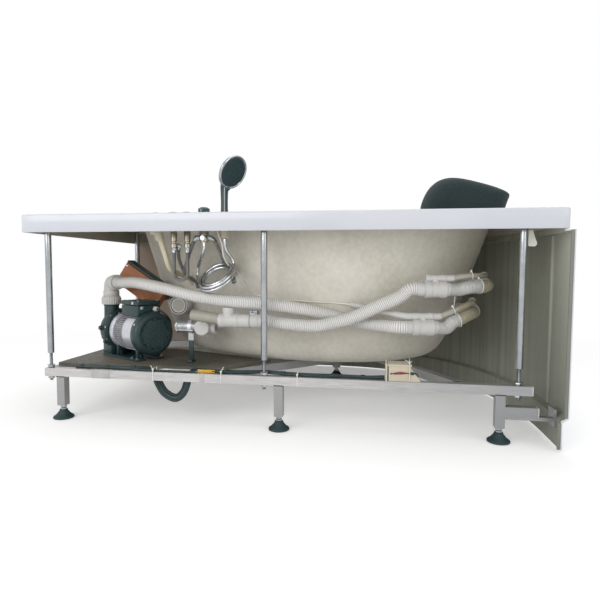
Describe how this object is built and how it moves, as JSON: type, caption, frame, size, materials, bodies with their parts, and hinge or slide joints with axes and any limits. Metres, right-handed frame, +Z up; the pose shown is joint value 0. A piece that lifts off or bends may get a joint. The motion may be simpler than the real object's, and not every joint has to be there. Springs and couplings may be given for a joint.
{
  "type": "corner jetted bathtub",
  "caption": "Corner jetted bathtub with curved front apron, square tube frame on levelling feet, pump, jet pipework, hand shower, deck controls and headrest.",
  "frame": {"origin": "middle of the footprint, on the floor", "axes": "+X along the long wall side towards the headrest, +Y from that wall towards the curved front, +Z up"},
  "size_m": [1.514, 1.014, 0.7789],
  "materials": {
    "acrylic": "glossy white acrylic over glass fibre",
    "steel": "plain steel",
    "board": "glass fibre laminate",
    "galvanised": "zinc plated",
    "rubber": "black rubber",
    "aluminium": "cast aluminium",
    "black_plastic": "black moulded plastic",
    "cable": "black cable sheath",
    "brass": "plated brass",
    "chrome": "polished chrome",
    "braid": "braided or wound steel hose",
    "cream_plastic": "cream plastic",
    "brown_plastic": "brown plastic",
    "headrest": "black moulded cushion",
    "white_pipe": "off-white plastic pipe"
  },
  "bodies": {
    "bath": {"tub_shell": "acrylic", "jet_hose_a": "white_pipe", "shower_hose_coil": "braid", "jet_hose_b": "white_pipe", "lower_jet_body": "white_pipe", "pump_volute": "black_plastic", "upper_jet_body": "white_pipe", "near_rail": "steel", "fan_cover": "black_plastic", "front_skirt": "acrylic", "headrest": "headrest", "upper_end_jet": "white_pipe", "lower_end_jet": "white_pipe", "wiring_loom": "cable", "upper_tail_hose": "white_pipe", "lower_tail_hose": "white_pipe", "discharge_elbow": "white_pipe", "diverter_valve": "brass", "motor_body": "aluminium", "shower_sleeve": "cream_plastic", "inline_heater": "steel", "pipe_tee": "white_pipe", "left_rail": "steel", "link_hose": "braid", "waste_outlet": "white_pipe", "hot_valve": "brass", "cold_valve": "brass", "post_near_left": "galvanised", "post_near_middle": "galvanised", "post_near_right": "galvanised", "post_far_left": "galvanised", "lower_air_hose": "white_pipe", "lower_end_air_hose": "white_pipe", "upper_air_hose": "white_pipe", "shower_hose_drop": "braid", "union_nut": "white_pipe", "right_rail": "steel", "terminal_box": "black_plastic", "control_box": "brown_plastic", "bracket_strap": "steel", "light_box": "cream_plastic", "far_rail": "steel", "cross_brace": "steel", "pump_board": "board"},
    "pump_rotor": {"motor_shaft": "steel", "impeller": "black_plastic", "cooling_fan": "black_plastic"},
    "foot_near_left_screw": {"foot_near_left": "rubber"},
    "foot_near_middle_screw": {"foot_near_middle": "rubber"},
    "foot_near_right_screw": {"foot_near_right": "rubber"},
    "foot_far_left_screw": {"foot_far_left": "rubber"},
    "foot_far_right_screw": {"foot_far_right": "rubber"},
    "hot_tap": {"hot_knob": "chrome"},
    "cold_tap": {"cold_knob": "chrome"},
    "diverter_tap": {"diverter_knob": "chrome"},
    "button": {"air_button": "chrome"},
    "handset": {"hand_shower": "chrome"},
    "plug": {"drain_plug": "chrome"},
    "upper_nozzle": {"upper_jet_nozzle": "chrome"},
    "lower_nozzle": {"lower_jet_nozzle": "chrome"}
  },
  "joints": [
    {"name": "pump_rotor_spin", "type": "hinge", "parent": "bath", "child": "pump_rotor", "pos_m": [-0.422, -0.33897, 0.25], "axis": [-0.848, 0.5299, 0], "continuous": true},
    {"name": "foot_near_left_height", "type": "slide", "parent": "bath", "child": "foot_near_left_screw", "axis": [0, 0, 1], "range_m": [-0.025, 0]},
    {"name": "foot_near_middle_height", "type": "slide", "parent": "bath", "child": "foot_near_middle_screw", "axis": [0, 0, 1], "range_m": [-0.025, 0]},
    {"name": "foot_near_right_height", "type": "slide", "parent": "bath", "child": "foot_near_right_screw", "axis": [0, 0, 1], "range_m": [-0.025, 0]},
    {"name": "foot_far_left_height", "type": "slide", "parent": "bath", "child": "foot_far_left_screw", "axis": [0, 0, 1], "range_m": [-0.025, 0]},
    {"name": "foot_far_right_height", "type": "slide", "parent": "bath", "child": "foot_far_right_screw", "axis": [0, 0, 1], "range_m": [-0.025, 0]},
    {"name": "hot_knob_turn", "type": "hinge", "parent": "bath", "child": "hot_tap", "pos_m": [-0.323, -0.41697, 0.62], "axis": [0, 0, 1], "range_deg": [0, 90]},
    {"name": "cold_knob_turn", "type": "hinge", "parent": "bath", "child": "cold_tap", "pos_m": [-0.281, -0.41697, 0.62], "axis": [0, 0, 1], "range_deg": [0, 90]},
    {"name": "diverter_knob_turn", "type": "hinge", "parent": "bath", "child": "diverter_tap", "pos_m": [-0.229, -0.41697, 0.625], "axis": [0, 0, 1], "range_deg": [0, 180]},
    {"name": "air_button_press", "type": "slide", "parent": "bath", "child": "button", "axis": [0, 0, -1], "range_m": [0, 0.004], "stiffness_N_per_m": 600},
    {"name": "hand_shower_lift", "type": "slide", "parent": "bath", "child": "handset", "axis": [0, 0, 1], "range_m": [0, 0.1]},
    {"name": "drain_plug_lift", "type": "slide", "parent": "bath", "child": "plug", "axis": [0, 0, 1], "range_m": [0, 0.01]},
    {"name": "upper_nozzle_aim", "type": "hinge", "parent": "bath", "child": "upper_nozzle", "pos_m": [0.42014, -0.30434, 0.405], "axis": [0, 0, 1], "range_deg": [-15, 15]},
    {"name": "lower_nozzle_aim", "type": "hinge", "parent": "bath", "child": "lower_nozzle", "pos_m": [0.3873, -0.28926, 0.298], "axis": [0, 0, 1], "range_deg": [-15, 15]}
  ]
}
